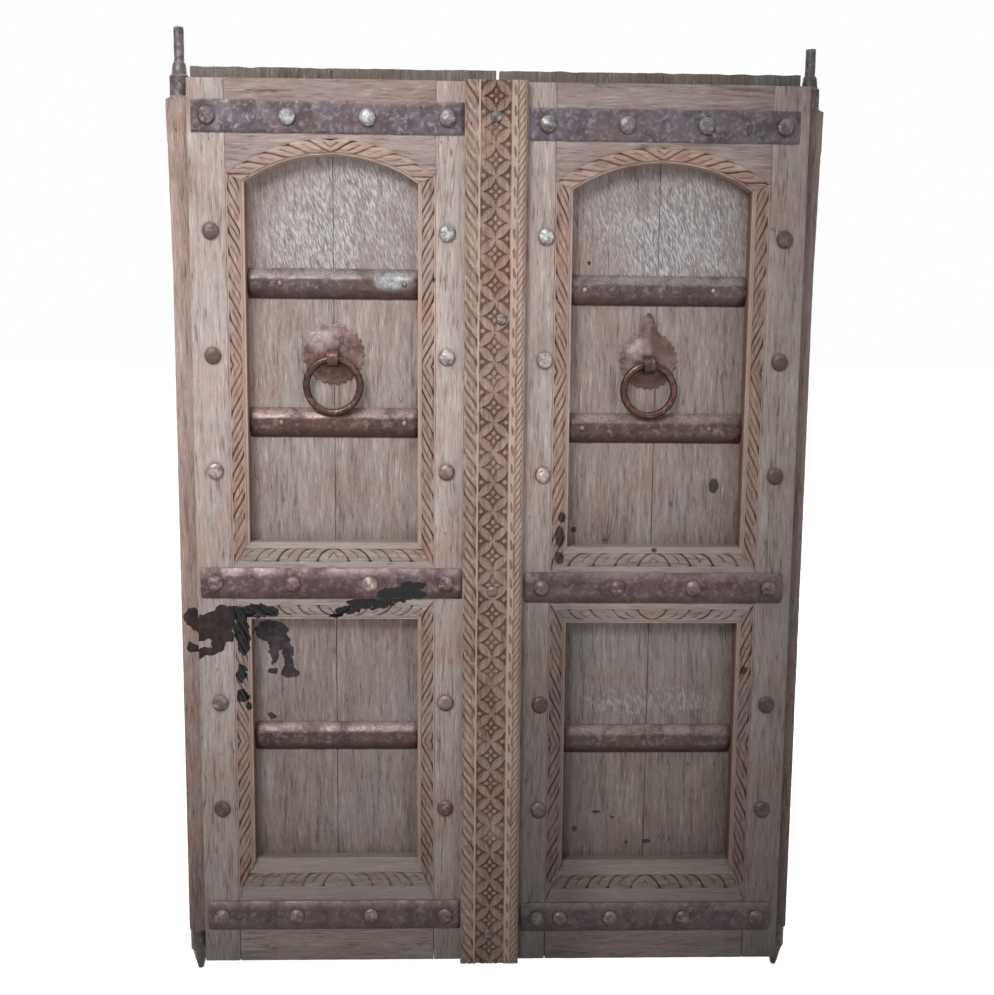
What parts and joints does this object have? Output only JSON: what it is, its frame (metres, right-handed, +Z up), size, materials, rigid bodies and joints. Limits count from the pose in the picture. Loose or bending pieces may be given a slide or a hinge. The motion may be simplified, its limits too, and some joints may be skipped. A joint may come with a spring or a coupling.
{
  "type": "carved double-leaf door",
  "caption": "Old wooden double-leaf pivot door with carved cover strip and mouldings, iron straps, domed nails and ring pulls.",
  "frame": {"origin": "under the middle of the closed pair, at the height of the bottom spike tips, midway through the depth", "axes": "+X to the right seen from the carved front, +Y from the carved front to the back, +Z up"},
  "size_m": [1.179, 0.117, 1.778],
  "materials": {
    "planks": "weathered, matt",
    "posts": "weathered, matt",
    "battens": "weathered, matt",
    "stiles": "weathered, worn smooth",
    "rails": "weathered, worn smooth",
    "mouldings": "carved, worn",
    "carved_strip": "carved, worn, reddish",
    "straps": "old forged iron, dark, worn sheen",
    "panel_straps": "old forged iron, dark, worn sheen",
    "nails": "hammered iron, worn bright",
    "tacks": "hammered iron, worn bright",
    "pivots": "old forged iron",
    "pull_plates": "old sheet iron, rust brown",
    "pull_eyes": "old forged iron",
    "pull_rings": "old forged iron, rust brown"
  },
  "bodies": {
    "left_leaf": {"left_hinge_plank": "planks", "left_meeting_plank": "planks", "left_pivot_post": "posts", "left_battens": "battens", "left_outer_stile": "stiles", "left_inner_stile": "stiles", "left_top_rail": "rails", "left_mid_rail": "rails", "left_bottom_rail": "rails", "left_upper_outer_moulding": "mouldings", "left_upper_inner_moulding": "mouldings", "left_upper_bottom_moulding": "mouldings", "left_lower_outer_moulding": "mouldings", "left_lower_inner_moulding": "mouldings", "left_lower_top_moulding": "mouldings", "left_lower_bottom_moulding": "mouldings", "left_top_strap": "straps", "left_middle_strap": "straps", "left_bottom_strap": "straps", "left_high_panel_strap": "panel_straps", "left_mid_panel_strap": "panel_straps", "left_low_panel_strap": "panel_straps", "left_nails": "nails", "left_tacks": "tacks", "left_top_pivot": "pivots", "left_bottom_pivot": "pivots", "left_pull_plate": "pull_plates", "left_pull_staple": "pull_eyes", "meeting_strip": "carved_strip", "strip_nails": "nails"},
    "right_leaf": {"right_hinge_plank": "planks", "right_meeting_plank": "planks", "right_pivot_post": "posts", "right_battens": "battens", "right_outer_stile": "stiles", "right_inner_stile": "stiles", "right_top_rail": "rails", "right_mid_rail": "rails", "right_bottom_rail": "rails", "right_upper_outer_moulding": "mouldings", "right_upper_inner_moulding": "mouldings", "right_upper_bottom_moulding": "mouldings", "right_lower_outer_moulding": "mouldings", "right_lower_inner_moulding": "mouldings", "right_lower_top_moulding": "mouldings", "right_lower_bottom_moulding": "mouldings", "right_top_strap": "straps", "right_middle_strap": "straps", "right_bottom_strap": "straps", "right_high_panel_strap": "panel_straps", "right_mid_panel_strap": "panel_straps", "right_low_panel_strap": "panel_straps", "right_nails": "nails", "right_tacks": "tacks", "right_top_pivot": "pivots", "right_bottom_pivot": "pivots", "right_pull_plate": "pull_plates", "right_pull_staple": "pull_eyes"},
    "left_ring": {"left_pull_ring": "pull_rings"},
    "right_ring": {"right_pull_ring": "pull_rings"}
  },
  "joints": [
    {"name": "right_leaf_swing", "type": "hinge", "parent": "left_leaf", "child": "right_leaf", "pos_m": [0.567, 0.0305, 0], "axis": [0, 0, -1], "range_deg": [0, 100]},
    {"name": "left_ring_swing", "type": "hinge", "parent": "left_leaf", "child": "left_ring", "pos_m": [-0.294, -0.0185, 1.195], "axis": [-1, 0, 0], "range_deg": [0, 150]},
    {"name": "right_ring_swing", "type": "hinge", "parent": "right_leaf", "child": "right_ring", "pos_m": [0.281, -0.0185, 1.188], "axis": [-1, 0, 0], "range_deg": [0, 150]}
  ]
}
